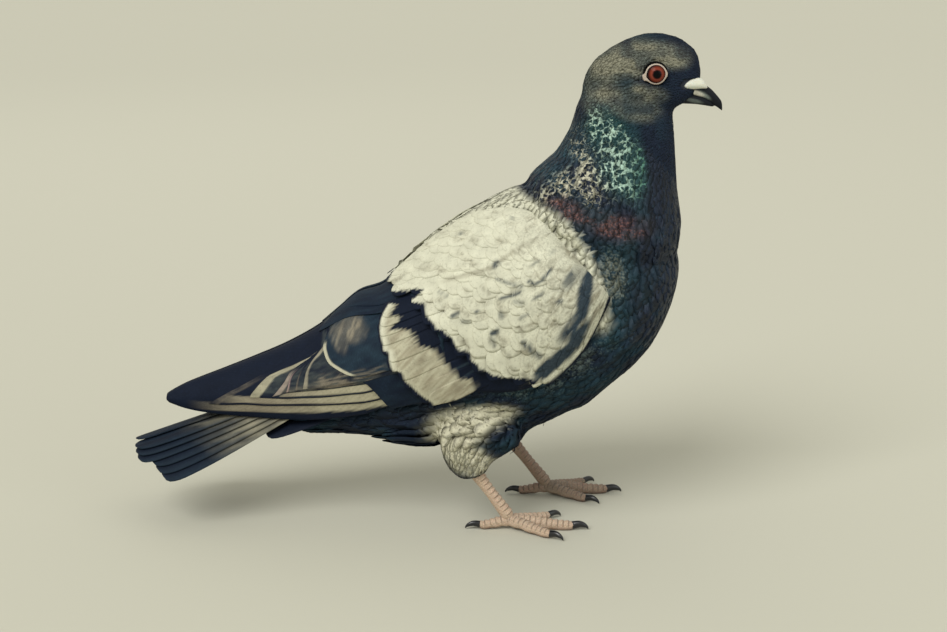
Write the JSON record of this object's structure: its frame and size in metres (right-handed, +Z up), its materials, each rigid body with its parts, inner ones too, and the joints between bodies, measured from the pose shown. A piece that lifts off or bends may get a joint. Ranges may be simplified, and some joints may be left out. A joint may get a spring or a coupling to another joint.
{
  "type": "pigeon",
  "caption": "Life-size rock pigeon standing on both feet, head up, wings folded over the tail, as a still model with separate feathers, bill, eyes, feet and claws.",
  "frame": {"origin": "on the floor, under the centre of the whole bird's box", "axes": "+X towards the bill, +Y to the bird's left, +Z up"},
  "size_m": [0.2816, 0.0982, 0.2341],
  "materials": {
    "dark_plumage": "dark blue-slate contour feathers, faintly glossy",
    "neck_plumage": "dark neck feathers with iridescent green, pale speckle and a rosy band at the base",
    "wing_plumage": "pale grey-buff wing feathers with two dark bars and grey-brown flight feathers",
    "tail_plumage": "dark slate tail feathers, lighter grey at the root",
    "thigh_plumage": "soft pale buff feathers, darker on the far side",
    "bill_horn": "dark horn, satin",
    "cere_skin": "chalky white bare skin",
    "eye": "wet orange-red iris round a black pupil",
    "eyelid_skin": "pale bare skin",
    "foot_skin": "pinkish scaled skin",
    "claw_horn": "dark horn claws"
  },
  "bodies": {
    "root": {"head": "dark_plumage", "neck": "neck_plumage", "torso": "dark_plumage", "bill_upper": "bill_horn", "bill_lower": "bill_horn", "cere_right": "cere_skin", "cere_left": "cere_skin", "eye_right": "eye", "eye_left": "eye", "eyelid_right": "eyelid_skin", "eyelid_left": "eyelid_skin", "wing_right": "wing_plumage", "wing_left": "wing_plumage", "tail": "tail_plumage", "thigh_right": "thigh_plumage", "thigh_left": "thigh_plumage", "foot_right": "foot_skin", "foot_left": "foot_skin", "claw_right_inner": "claw_horn", "claw_right_middle": "claw_horn", "claw_right_outer": "claw_horn", "claw_right_hind": "claw_horn", "claw_left_inner": "claw_horn", "claw_left_middle": "claw_horn", "claw_left_outer": "claw_horn", "claw_left_hind": "claw_horn"}
  },
  "joints": []
}
